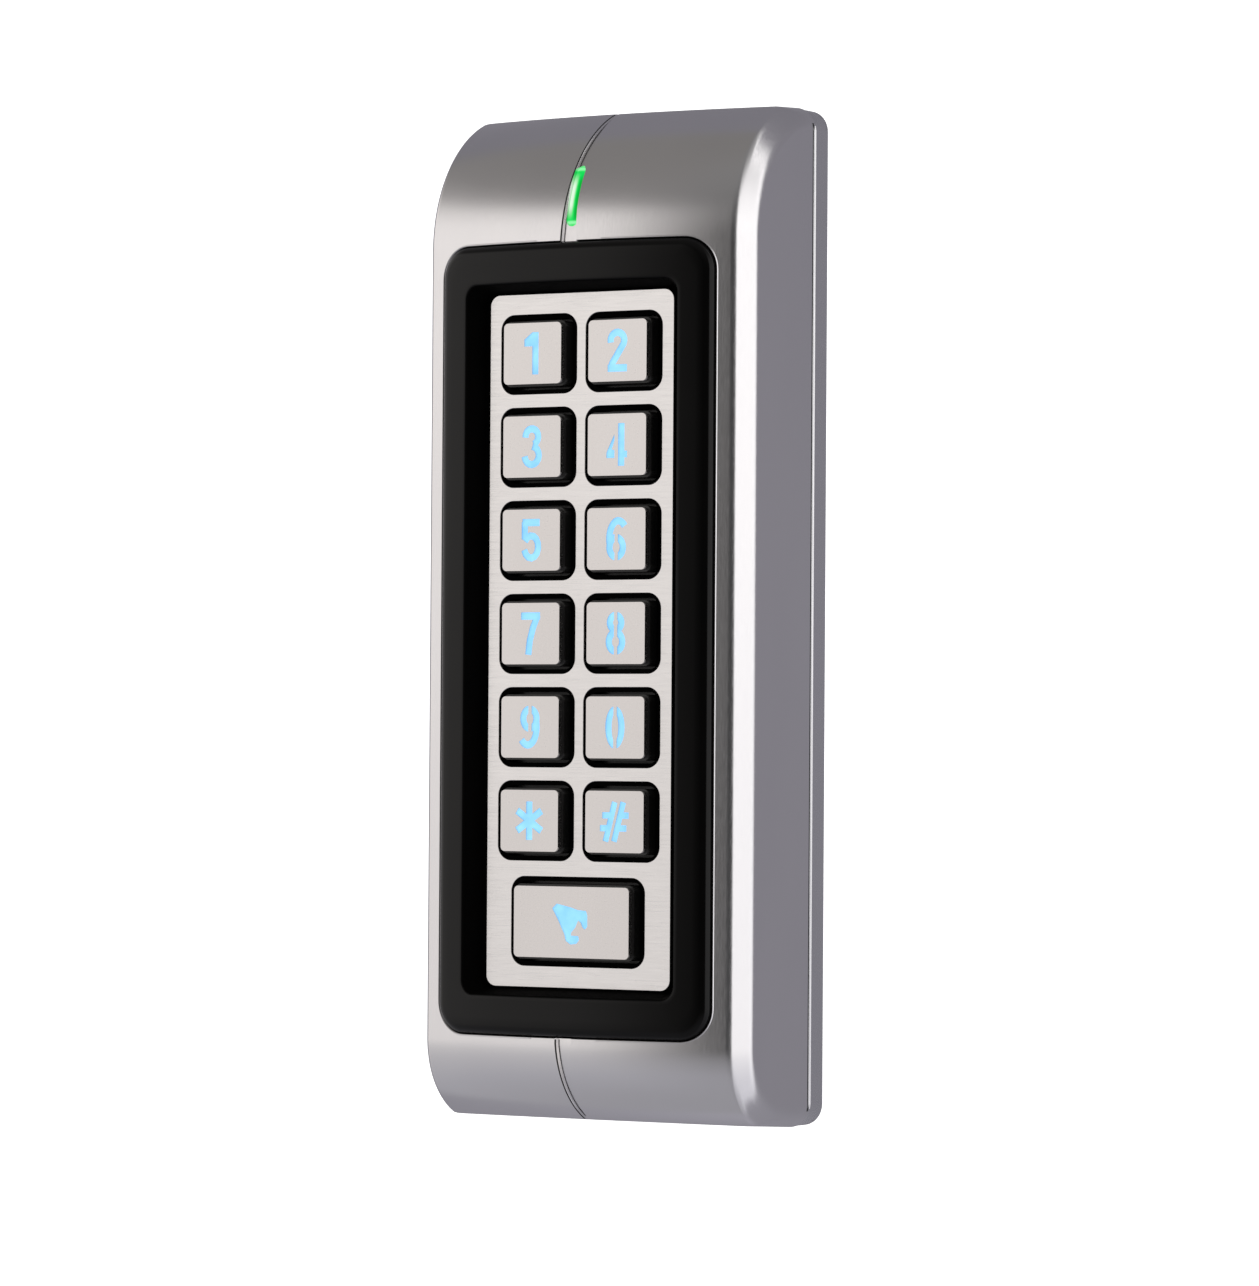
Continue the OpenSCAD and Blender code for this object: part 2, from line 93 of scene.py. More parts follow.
def bow(x, radius=BOW_R):
    """How far the bowed face falls back from its crown at x."""
    return radius - math.sqrt(radius * radius - x * x)


# ---- mesh helpers ----

def new_object(name, bm, body="reader", smooth_angle=30):
    mesh = bpy.data.meshes.new(name)
    bm.to_mesh(mesh)
    bm.free()
    mesh.transform(Matrix.Scale(MM, 4))
    obj = bpy.data.objects.new(name, mesh)
    bpy.context.scene.collection.objects.link(obj)
    shade(obj, smooth_angle)
    if body:
        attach(obj, body)
    return obj


def shade(obj, smooth_angle=30):
    for poly in obj.data.polygons:
        poly.use_smooth = True
    obj.data.set_sharp_from_angle(angle=math.radians(smooth_angle))


def point(x, depth, z):
    return Vector((x, -depth, z))


def side_name(piece, side):
    return piece + ("_right" if side > 0 else "_left")


def rounded_loop(w, h, r, steps=8, inset=0.0, cx=0.0, cz=0.0):
    """Points (x, z) round a rounded rectangle, anticlockwise seen from the front."""
    w, h, r = w - 2 * inset, h - 2 * inset, max(r - inset, 0.05)
    loop = []
    for sx, sz, start in ((1, 1, 0), (-1, 1, 90), (-1, -1, 180), (1, -1, 270)):
        x, z = sx * (w / 2 - r), cz + sz * (h / 2 - r)
        for i in range(steps + 1):
            a = math.radians(start + 90 * i / steps)
            loop.append((x + r * math.cos(a) + cx, z + r * math.sin(a)))
    return loop


def bezel_loop(grow=0.0):
    """The bezel's outline, grown outwards by grow."""
    return rounded_loop(BEZEL_W + 2 * grow, BEZEL_H + 2 * grow, BEZEL_R + grow, 14, cz=BEZEL_Z)


def bridge(bm, a, b, closed=True):
    n = len(a)
    for i in range(n if closed else n - 1):
        j = (i + 1) % n
        bm.faces.new((a[i], a[j], b[j], b[i]))


def divided_like(loop, pattern, longest=1.6):
    """Divides each side of loop into as many parts as the same side of pattern needs."""
    out = []
    sides = zip(loop, loop[1:] + loop[:1], pattern, pattern[1:] + pattern[:1])
    for (x0, z0), (x1, z1), (p0, q0), (p1, q1) in sides:
        n = max(1, math.ceil(math.hypot(p1 - p0, q1 - q0) / longest))
        out += [(x0 + (x1 - x0) * i / n, z0 + (z1 - z0) * i / n) for i in range(n)]
    return out


def divided_loop(grow=0.0):
    """The bezel's outline grown by grow, with its long sides divided to follow the bow."""
    return divided_like(bezel_loop(grow), bezel_loop())


def loft(bm, rings):
    """Bridges closed rings in turn, then caps both ends."""
    for a, b in zip(rings, rings[1:]):
        bridge(bm, a, b)
    bm.faces.new(rings[-1])
    bm.faces.new(rings[0][::-1])
    bmesh.ops.recalc_face_normals(bm, faces=bm.faces)
    return bm


def prism(loop, d0, d1):
    """A closed prism from depth d0 forward to depth d1."""
    bm = bmesh.new()
    return loft(bm, [[bm.verts.new(point(x, d, z)) for x, z in loop] for d in (d0, d1)])


def cut(obj, *cutters):
    """Subtracts each cutter mesh from obj for good."""
    for bm in cutters:
        tool = new_object("cutter", bm, body=None)
        mod = obj.modifiers.new("cut", "BOOLEAN")
        mod.operation, mod.solver, mod.object = "DIFFERENCE", "EXACT", tool
        bake(obj)
        bpy.data.objects.remove(tool)


def bake(obj):
    graph = bpy.context.evaluated_depsgraph_get()
    mesh = bpy.data.meshes.new_from_object(obj.evaluated_get(graph))
    obj.modifiers.clear()
    old = obj.data
    obj.data = mesh
    bpy.data.meshes.remove(old)


def round_edges(obj, width, segments=2):
    """Rounds the hard edges by width in millimetres, with the flats kept flat."""
    weld = obj.modifiers.new("weld", "WELD")
    weld.merge_threshold = 0.002 * MM
    mod = obj.modifiers.new("edges", "BEVEL")
    mod.width, mod.segments = width * MM, segments
    mod.limit_method, mod.angle_limit = "ANGLE", math.radians(50)
    mod.harden_normals = True
    mod.use_clamp_overlap = True


# ---- case ----

def case_stations():
    """Across the case: x, the bow's fall and the chamfer's fall, with soft edges to the chamfer."""
    edge = HALF_W - CHAMFER_W
    slope = CHAMFER_D / CHAMFER_W
    soft = 0.35
    fillet = 0.45
    xs = [i * 1.0 for i in range(int(edge - 1.3) + 1)]
    xs += [edge - 1.0, edge - 0.6]
    xs += [edge - soft + 2 * soft * i / 6 for i in range(7)]
    xs += [edge + 0.7, edge + 1.0, HALF_W - CORNER_R + 0.3, HALF_W - CORNER_R + 0.6]
    xs += [HALF_W - fillet * (1 - math.sin(math.radians(a))) for a in (0, 18, 36, 54, 68, 80, 90)]
    stations = []
    for x in sorted(set(round(x, 4) for x in xs)):
        past = x - edge
        if past <= -soft:
            fall = 0.0
        elif past < soft:
            fall = slope * (past + soft) ** 2 / (4 * soft)
        else:
            fall = slope * past
        t = max(0.0, (x - (HALF_W - fillet)) / fillet)
        fall += fillet * (1 - math.sqrt(max(0.0, 1 - t * t)))
        stations.append((x, bow(min(x, edge)), fall))
    return [(-x, b, f) for x, b, f in stations[:0:-1]] + stations


def case_profile(x, fall_bow, fall_chamfer):
    """The case's outline in the plane at x, from the joint at the bottom to the one on top."""
    over = max(0.0, abs(x) - (HALF_W - CORNER_R))
    corner = CORNER_R - math.sqrt(max(0.0, CORNER_R ** 2 - over ** 2))
    front = CROWN - fall_bow - fall_chamfer

    def end_z(depth):
        return HALF_H - corner - (depth - SEAM) * DRAFT * (1 - corner / CORNER_R)

    def end(roll, fall, steps):
        axis_z, axis_d, r = HALF_H - fall, CROWN - fall_bow - roll, roll - fall_chamfer
        low, high = 0.0, math.pi / 2
        for _ in range(40):
            mid = (low + high) / 2
            if axis_z + r * math.sin(mid) < end_z(axis_d + r * math.cos(mid)):
                low = mid
            else:
                high = mid
        arc = [(axis_d + r * math.cos(low * i / steps), axis_z + r * math.sin(low * i / steps))
               for i in range(steps + 1)]
        tip_d = arc[-1][0]
        run = [tip_d + (SEAM + 0.04 - tip_d) * i / 6 for i in range(1, 7)]
        return arc + [(d, end_z(d)) for d in run]

    bottom = [(d, -z) for d, z in end(BOTTOM_ROLL, BOTTOM_FALL, 28)]
    top = end(TOP_ROLL, TOP_FALL, 40)
    z0, z1 = bottom[0][1], top[0][1]
    flat = [(front, z0 + (z1 - z0) * i / 24) for i in range(1, 24)]
    return bottom[::-1] + flat + top


def case_body():
    bm = bmesh.new()
    rows = []
    for x, b, f in case_stations():
        rows.append([bm.verts.new(point(x, d, z)) for d, z in case_profile(x, b, f)])
    for a, b in zip(rows, rows[1:]):
        bridge(bm, a, b, closed=False)
    bm.faces.new(rows[0])
    bm.faces.new(rows[-1][::-1])
    bm.faces.new([row[0] for row in rows] + [row[-1] for row in rows[::-1]])
    bmesh.ops.remove_doubles(bm, verts=bm.verts, dist=1e-4)
    bmesh.ops.recalc_face_normals(bm, faces=bm.faces)
    return bm


def rolled_row(bm, ring, axis_d, axis_z, a, up):
    """The ring's points (x, radius), turned by a round the axis of a roll-over."""
    return [bm.verts.new(point(x, axis_d + r * math.cos(a), up * (axis_z + r * math.sin(a))))
            for x, r in ring]


def groove_cutter(roll, fall, up):
    """A channel that follows one roll-over, narrows and fades out."""
    axis_z, axis_d = HALF_H - fall, CROWN - roll
    bm = bmesh.new()
    rows = []
    steps = 44
    for i in range(-2, steps + 1):
        a = math.radians(84 * i / steps)
        taper = min(1.0, max(0.0, roll * math.sin(a) / (HALF_H - axis_z)))
        half = (GROOVE_W + (GROOVE_TIP - GROOVE_W) * taper) / 2
        scale = 0.85 * math.cos(a) + 0.15
        right_wall = [(half - 0.04 * scale, -GROOVE_D * scale), (half + 0.2, 0.5)]
        left_wall = [(-half - 0.2, 0.5), (-half + 0.01, -0.02 * scale),
                     (-half + (0.01 + 0.27 * scale), -GROOVE_D * scale)]
        ring = [(x, roll + rise) for x, rise in right_wall + left_wall]
        rows.append(rolled_row(bm, ring, axis_d, axis_z, a, up))
    return loft(bm, rows)


def build_groove_line(name, roll, fall, up):
    """A thin dark strip let into the left edge of a groove, as far as the end of the case: painted
    shade standing in for the shadow in the groove's crevice.
    """
    axis_z, axis_d = HALF_H - fall, CROWN - roll
    last = 40.0
    while axis_z + roll * math.sin(math.radians(last)) < HALF_H - 0.06 - (
            axis_d + roll * math.cos(math.radians(last)) - SEAM) * DRAFT:
        last += 0.2
    bm = bmesh.new()
    rows = []
    steps = 44
    for i in range(steps + 1):
        a = math.radians(-3 + (last + 3) * i / steps)
        taper = min(1.0, max(0.0, roll * math.sin(a) / (HALF_H - axis_z)))
        left = -(GROOVE_W + (GROOVE_TIP - GROOVE_W) * taper) / 2
        wide = 0.15 - 0.04 * min(1.0, 2.5 * taper)
        low = -0.16 + 0.08 * taper
        section = ((left, low), (left, 0.0), (left + wide, -0.012), (left + wide, low))
        ring = [(x, roll + rise) for x, rise in section]
        rows.append(rolled_row(bm, ring, axis_d, axis_z, a, up))
    return new_object(name, loft(bm, rows))


def opening_cutter():
    """The bezel's opening, with a rounded lip that follows the bowed face."""
    lip = 0.16
    bm = bmesh.new()

    def ring(grow, depth):
        return [bm.verts.new(point(x, depth(x), z)) for x, z in divided_loop(SEAT_GAP + grow)]

    rings = [ring(0, lambda x: LEDGE_D)]
    for turn in (0, 18, 36, 54, 70):
        a = math.radians(turn)
        rings.append(ring(lip * (1 - math.cos(a)),
                          lambda x, a=a: CROWN - bow(x) - lip * (1 - math.sin(a))))
    rings.append(ring(lip + 0.3, lambda x: CROWN - bow(x) + 0.6))
    rings.append(ring(lip + 0.3, lambda x: CROWN + 3))
    return loft(bm, rings)


def build_opening_ridge(side):
    """The case's fine raised ridge down one side of the opening, stopping short of the grooves."""
    held = [side * x > 4 for x, z in divided_loop()]
    start = next(i for i, inside in enumerate(held) if inside and not held[i - 1])
    bm = bmesh.new()
    rails = []
    for grow, rise in ((0.20, -0.05), (0.23, 0.10), (0.29, 0.10), (0.37, -0.05)):
        loop = divided_loop(grow)
        rail = [loop[(start + k) % len(loop)] for k in range(sum(held))]
        rails.append([bm.verts.new(point(x, CROWN - bow(x) + rise, z)) for x, z in rail])
    for a, b in zip(rails, rails[1:] + rails[:1]):
        bridge(bm, a, b, closed=False)
    bm.faces.new([rail[0] for rail in rails])
    bm.faces.new([rail[-1] for rail in rails][::-1])
    bmesh.ops.recalc_face_normals(bm, faces=bm.faces)
    return new_object(side_name("opening_ridge", side), bm)


def side_bar(side, x0, x1, d0, d1, end):
    """A block along one side of the joint between the case and the wall plate."""
    return prism([(side * x, z) for x, z in ((x1, end), (x0, end), (x0, -end), (x1, -end))], d0, d1)


def build_joint_seal(side):
    """Dark rubber at the bottom of the joint line."""
    return new_object(side_name("joint_seal", side),
                      side_bar(side, HALF_W - JOINT_IN - 0.8, HALF_W - 0.15, SEAM + 0.1,
                               SEAM + JOINT_GAP + 0.05, JOINT_END - 0.1))


def build_cover_bead(side):
    """The wall plate's bevelled rim, where it shows in the joint line."""
    profile = ((-0.3, -0.40), (-0.12, -0.40), (0, -0.25), (-0.15, 0.06), (-0.3, 0.07))
    end = JOINT_END - 0.3
    bm = bmesh.new()
    rings = [[bm.verts.new(point(side * (HALF_W + x - inset), SEAM + d, z)) for x, d in profile]
             for z, inset in ((-end, 0.09), (0.6 - end, 0), (end - 0.6, 0), (end, 0.09))]
    return new_object(side_name("cover_bead", side), loft(bm, rings))


def cylinder_up(depth, z0, z1, radius, steps=40):
    """An upright cylinder at the middle of the width."""
    turns = [2 * math.pi * (i + 0.5) / steps for i in range(steps)]
    bm = bmesh.new()
    return loft(bm, [[bm.verts.new(point(radius * math.cos(a), depth + radius * math.sin(a), z))
                      for a in turns] for z in (z0, z1)])


def build_case():
    obj = new_object("case_shell", case_body())
    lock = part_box("locking_screw")
    lock_d = -(lock[0].y + lock[1].y) / 2 / MM
    light_hole = rounded_loop(LIGHT_W + 0.19, LIGHT_L + 0.3, LIGHT_W / 2 + 0.08, 14,
                              cx=0.17, cz=LIGHT_Z)
    joint_lines = [side_bar(side, HALF_W - JOINT_IN, HALF_W + 1,
                            SEAM - 1, SEAM + JOINT_GAP, JOINT_END) for side in (1, -1)]
    cut(obj,
        prism(rounded_loop(2 * (HALF_W - WALL), 2 * (HALF_H - 5), 2), SEAM - 1, LEDGE_D - 3),
        opening_cutter(),
        prism(rounded_loop(BEZEL_W - 4, BEZEL_H - 4, 2, cz=BEZEL_Z), SEAM + 2, LEDGE_D + 1),
        groove_cutter(TOP_ROLL, TOP_FALL, 1),
        groove_cutter(BOTTOM_ROLL, BOTTOM_FALL, -1),
        prism(light_hole, SEAM + 3, CROWN + 2),
        *joint_lines,
        cylinder_up(lock_d, -HALF_H - 1, -HALF_H + 1.5, 2.9),
        cylinder_up(lock_d, -HALF_H + 0.5, -HALF_H + 4, 1.7))
    shade(obj, 24)
    return obj


def build_lens():
    """The status light: a stem with round ends and a domed face that follows the roll-over."""
    axis_z, axis_d, r = HALF_H - TOP_FALL, CROWN - TOP_ROLL, TOP_ROLL - LENS_DROP
    edge = 0.35
    reach = LIGHT_W / 2 - 0.01
    straight = LIGHT_L / 2 - reach
    along = [straight + reach * math.sin(math.radians(a)) for a in range(6, 85, 6)]
    along = [-v for v in along[::-1]] + [straight * (i / 12 - 1) for i in range(25)] + along
    bm = bmesh.new()
    rows = []
    for v in along:
        past = max(0.0, abs(v) - straight)
        side = math.sqrt(max(1e-6, reach ** 2 - past ** 2))
        row = []
        for i in range(17):
            x = side * math.sin(math.radians(90 * (i / 8 - 1)))
            rim = 1 - min(1.0, (reach - math.hypot(x, past)) / edge)
            drop = 0.8 * edge * (1 - math.sqrt(max(0.0, 1 - rim * rim))) + 0.10 * (x / reach) ** 2
            drop -= LENS_RISE * (v / LIGHT_L + 0.5)
            z = LIGHT_Z + v
            depth = axis_d + math.sqrt(r * r - (z - axis_z) ** 2) - drop
            row.append(bm.verts.new(point(x, depth, z)))
        rows.append(row)
    for a, b in zip(rows, rows[1:]):
        bridge(bm, a, b, closed=False)
    left, right = [row[0] for row in rows], [row[-1] for row in rows[-2::-1]]
    rim_loop = left + rows[-1][1:] + right + rows[0][-2:0:-1]
    base = [bm.verts.new((v.co.x, pipe_hi.y, v.co.z)) for v in rim_loop]
    bridge(bm, rim_loop, base)
    bm.faces.new(base)
    bmesh.ops.recalc_face_normals(bm, faces=bm.faces)
    return new_object("status_lens", bm, smooth_angle=50)


# ---- bezel ----

def build_bezel():
    """Rings from the outer back edge, over the bowed front, down the leaning walls to the floor."""
    outer = bezel_loop()
    bm = bmesh.new()
    rings = []

    def add(w, h, r, depth, inset=0.0, cz=BEZEL_Z):
        """A ring with as many points as the outer loop, taken at the same bearings."""
        loop = divided_like(rounded_loop(w, h, r, 14, inset=inset, cz=cz), outer)
        rings.append([bm.verts.new(point(x, depth(x), z)) for x, z in loop])

    def face(x, drop=0.0):
        return CROWN + PROUD - bow(x, BOW_R + PROUD) - drop

    add(BEZEL_W, BEZEL_H, BEZEL_R, lambda x: LEDGE_D)
    add(BEZEL_W, BEZEL_H, BEZEL_R, lambda x: FLOOR_D)
    edge = 1.15
    for i in range(7):
        a = math.radians(90 * i / 6)
        add(BEZEL_W, BEZEL_H, BEZEL_R, lambda x, a=a: face(x, edge * (1 - math.sin(a))),
            inset=edge * (1 - math.cos(a)))
    for t in (0.3, 0.6, 0.9):
        w = BEZEL_W - 2 * edge + (RECESS_W + 0.6 - BEZEL_W + 2 * edge) * t
        h = BEZEL_H - 2 * edge + (RECESS_H + 0.6 - BEZEL_H + 2 * edge) * t
        add(w, h, 3.3 + (1.9 - 3.3) * t, face)
    lip = 0.3
    for i in range(5):
        a = math.radians(90 * i / 4)
        grow = 2 * lip * (1 - math.sin(a))
        add(RECESS_W + grow, RECESS_H + grow, 1.8 - 0.2 * i / 4,
            lambda x, a=a: face(x, lip * (1 - math.cos(a))))
    add(RECESS_W - 2, plate_hi.z - plate_lo.z + 0.3, 1.2, lambda x: FLOOR_D,
        cz=(plate_hi.z + plate_lo.z) / 2)
    obj = new_object("bezel_moulding", loft(bm, rings))
    hollow = rounded_loop(RECESS_W - 2, RECESS_H - 1, 1.5, cz=BEZEL_Z)
    cut(obj, prism(hollow, LEDGE_D - 1, FLOOR_D - FLOOR_T),
        *(prism(key_loop(name, 0.7, 0.7, 1.0), LEDGE_D - 2, CROWN) for name in KEYS))
    shade(obj, 28)
    return obj


def key_loop(name, wider, taller, r, steps=8):
    """Outline round a key's carrier, wider and taller than it by the amounts given."""
    lo, hi = (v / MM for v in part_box(f"key_{name}_cap"))
    w, h = hi.x - lo.x + KEY_SKIRT + wider, hi.z - lo.z + KEY_SKIRT + taller
    return rounded_loop(w, h, r, steps, cx=(hi.x + lo.x) / 2, cz=(hi.z + lo.z) / 2)


def build_plate():
    outline = rounded_loop(plate_hi.x - plate_lo.x, plate_hi.z - plate_lo.z, 1.4, 10,
                           cz=(plate_hi.z + plate_lo.z) / 2)
    obj = new_object("keypad_sheet", prism(outline, FLOOR_D, PLATE_D))
    cut(obj, *(prism(key_loop(name, 2.2, 1.8, 1.9, 14), FLOOR_D - 1, PLATE_D + 1) for name in KEYS))
    round_edges(obj, 0.09)
    return obj


# ---- materials ----

def math_node(tree, operation, *values):
    """A math node whose inputs are numbers or sockets."""
    node = tree.nodes.new("ShaderNodeMath")
    node.operation = operation
    for socket, value in zip(node.inputs, values):
        if isinstance(value, (int, float)):
            socket.default_value = value
        else:
            tree.links.new(value, socket)
    return node.outputs[0]


def mix_node(tree, fac, a, b):
    """A colour mix whose colours are (r, g, b) or sockets."""
    node = tree.nodes.new("ShaderNodeMix")
    node.data_type = "RGBA"
    tree.links.new(fac, node.inputs["Factor"])
    for name, colour in (("A", a), ("B", b)):
        if isinstance(colour, tuple):
            node.inputs[name].default_value = (*colour, 1)
        else:
            tree.links.new(colour, node.inputs[name])
    return node.outputs["Result"]


class Nodes:
    """A small helper that builds a node material."""

    def __init__(self, name):
        self.mat = bpy.data.materials.new(name)
        self.mat.use_nodes = True
        self.tree = self.mat.node_tree
        self.shader = self.tree.nodes["Principled BSDF"]

    def add(self, kind, **settings):
        node = self.tree.nodes.new(kind)
        for key, value in settings.items():
            if hasattr(node, key):
                setattr(node, key, value)
            else:
                node.inputs[key.replace("_", " ")].default_value = value
        return node

    def link(self, a, b):
        self.tree.links.new(a, b)

    def set(self, **values):
        for key, value in values.items():
            self.shader.inputs[key.replace("_", " ")].default_value = value

    def coords(self, scale=(1, 1, 1)):
        tex = self.add("ShaderNodeTexCoord")
        mapping = self.add("ShaderNodeMapping")
        mapping.inputs["Scale"].default_value = scale
        self.link(tex.outputs["Object"], mapping.inputs["Vector"])
        return mapping.outputs["Vector"]

    def noise(self, vector, scale, detail=4.0, roughness=0.55):
        node = self.add("ShaderNodeTexNoise")
        node.inputs["Scale"].default_value = scale
        node.inputs["Detail"].default_value = detail
        node.inputs["Roughness"].default_value = roughness
        self.link(vector, node.inputs["Vector"])
        return node.outputs["Fac"]

    def ramp(self, fac, low, high, start=0.3, end=0.7):
        node = self.add("ShaderNodeMapRange")
        node.inputs["From Min"].default_value = start
        node.inputs["From Max"].default_value = end
        node.inputs["To Min"].default_value = low
        node.inputs["To Max"].default_value = high
        self.link(fac, node.inputs["Value"])
        return node.outputs["Result"]

    def math(self, operation, *values):
        return math_node(self.tree, operation, *values)

    def mix(self, fac, a, b):
        return mix_node(self.tree, fac, a, b)

    def bump(self, *layers):
        """layers: (height socket, strength, distance in metres)."""
        normal = None
        for height, strength, distance in layers:
            node = self.add("ShaderNodeBump")
            node.inputs["Strength"].default_value = strength
            node.inputs["Distance"].default_value = distance
            self.link(height, node.inputs["Height"])
            if normal:
                self.link(normal, node.inputs["Normal"])
            normal = node.outputs["Normal"]
        self.link(normal, self.shader.inputs["Normal"])


def satin_metal(name, light, dark, rough, brush=(1, 1, 0.02), strength=0.15, scale=9000):
    """Plated or stainless metal with a fine brush; brush squeezes the grain along one axis."""
    m = Nodes(name)
    fine = m.noise(m.coords(brush), scale, 3.0, 0.6)
    broad = m.noise(m.coords((1, 1, 0.35)), 60.0, 3.0, 0.5)
    m.link(m.mix(m.ramp(broad, 0, 1), dark, light), m.shader.inputs["Base Color"])
    m.link(m.ramp(fine, rough - 0.04, rough + 0.05), m.shader.inputs["Roughness"])
    m.bump((fine, strength, 0.00002), (broad, 0.02, 0.0002))
    m.set(Metallic=1.0)
    return m.mat


def moulded(name, light, dark, rough, grain=0.05):
    """Plain plastic or rubber with a fine grain."""
    m = Nodes(name)
    fine = m.noise(m.coords(), 2500.0, 3.0)
    broad = m.noise(m.coords(), 90.0, 4.0)
    m.link(m.mix(m.ramp(broad, 0, 1), dark, light), m.shader.inputs["Base Color"])
    m.link(m.ramp(broad, rough - 0.02, rough + 0.03), m.shader.inputs["Roughness"])
    m.bump((fine, grain, 0.00003))
    return m.mat


def bezel_plastic(name):
    """Glossy black moulding whose recess walls are duller than its front."""
    m = Nodes(name)
    fine = m.noise(m.coords(), 2500.0, 3.0)
    broad = m.noise(m.coords(), 90.0, 4.0)
    m.link(m.mix(m.ramp(broad, 0, 1), (0.0014, 0.0013, 0.0012), (0.0022, 0.0020, 0.0018)),
           m.shader.inputs["Base Color"])
    m.bump((fine, 0.02, 0.00003))
    axes = m.add("ShaderNodeSeparateXYZ")
    m.link(m.coords(), axes.inputs[0])

    corner = 1.7
    past = []
    for axis, middle, reach in (("X", 0.0, RECESS_W / 2), ("Z", BEZEL_Z, RECESS_H / 2)):
        away = m.math("ABSOLUTE", m.math("SUBTRACT", axes.outputs[axis], middle * MM))
        beyond = m.math("MAXIMUM", m.math("SUBTRACT", away, (reach - corner) * MM), 0.0)
        past.append(m.math("MULTIPLY", beyond, beyond))
    edge = m.math("SQRT", m.math("ADD", *past))
    inside = m.ramp(edge, 1.0, 0.0, (corner + 0.05) * MM, (corner + 0.30) * MM)
    m.link(m.ramp(inside, 0.23, 0.03, 0.0, 1.0), m.shader.inputs["Specular IOR Level"])
    m.link(m.ramp(inside, 0.13, 0.75, 0.0, 1.0), m.shader.inputs["Roughness"])
    return m.mat


def lit(name, colour, glow, strength):
    """Translucent plastic lit from inside, a little uneven."""
    m = Nodes(name)
    cloud = m.noise(m.coords(), 420.0, 2.0)
    tint = m.mix(m.ramp(cloud, 0, 1), glow, colour)
    m.link(tint, m.shader.inputs["Base Color"])
    m.link(tint, m.shader.inputs["Emission Color"])
    m.link(m.ramp(cloud, strength * 1.08, strength * 0.92), m.shader.inputs["Emission Strength"])
    m.set(Roughness=0.35)
    return m.mat


def status_light(name):
    """Green lens lit from inside: a painted highlight left of its middle, paler ends, and painted
    shade over its right side and along its right edge.
    """
    m = Nodes(name)
    axes = m.add("ShaderNodeSeparateXYZ")
    m.link(m.coords(), axes.inputs[0])

    def band(socket, centre, near, far):
        """1 within near of centre, falling to 0 at far; all in metres."""
        away = m.math("ABSOLUTE", m.math("SUBTRACT", socket, centre))
        node = m.add("ShaderNodeMapRange", interpolation_type="SMOOTHSTEP")
        node.inputs["From Min"].default_value = far
        node.inputs["From Max"].default_value = near
        m.link(away, node.inputs["Value"])
        return node.outputs["Result"]

    x, z = axes.outputs["X"], axes.outputs["Z"]
    middle, reach, half = LIGHT_Z * MM, LIGHT_L * MM / 2, LIGHT_W * MM / 2
    # painted highlight: a pale streak left of the middle of the lens, standing in for a reflection
    # on its dome
    painted_highlight = m.math("MULTIPLY", band(x, -0.50 * half, 0.15 * half, 0.72 * half),
                    band(z, middle, 0.25 * reach, 0.85 * reach))
    # painted shade: the right side of the lens darker
    dark = m.math("MULTIPLY", band(x, 0.62 * half, 0.1 * half, 0.5 * half),
                  band(z, middle - 0.1 * reach, 0.5 * reach, 0.95 * reach))
    ends = m.math("MAXIMUM", band(z, middle + 0.93 * reach, 0.01 * reach, 0.10 * reach),
                  band(z, middle - 0.91 * reach, 0.01 * reach, 0.10 * reach))
    cloud = m.noise(m.coords(), 900.0, 2.0)
    green = m.mix(m.ramp(cloud, 0, 1), (0.0, 0.68, 0.075), (0.01, 0.84, 0.13))
    # painted shade: a dark band along the lens's right edge
    rim = band(x, 0.99 * half, 0.02 * half, 0.16 * half)
    # over the glow go the painted shade, the painted highlight, the paler ends and the painted
    # shade on the right edge
    for fac, tint in ((dark, (0.0, 0.46, 0.04)), (painted_highlight, (0.80, 1.0, 0.80)),
                      (ends, (0.30, 1.0, 0.42)), (rim, (0.0, 0.10, 0.01))):
        green = m.mix(fac, green, tint)
    m.link(green, m.shader.inputs["Emission Color"])
    m.set(Emission_Strength=0.95, Roughness=0.25, Specular_IOR_Level=0.2)
    m.shader.inputs["Base Color"].default_value = (0.0, 0.05, 0.01, 1)
    m.bump((cloud, 0.05, 0.0001))
    return m.mat


def wear(obj, material):
    obj.data.materials.clear()
    obj.data.materials.append(material)


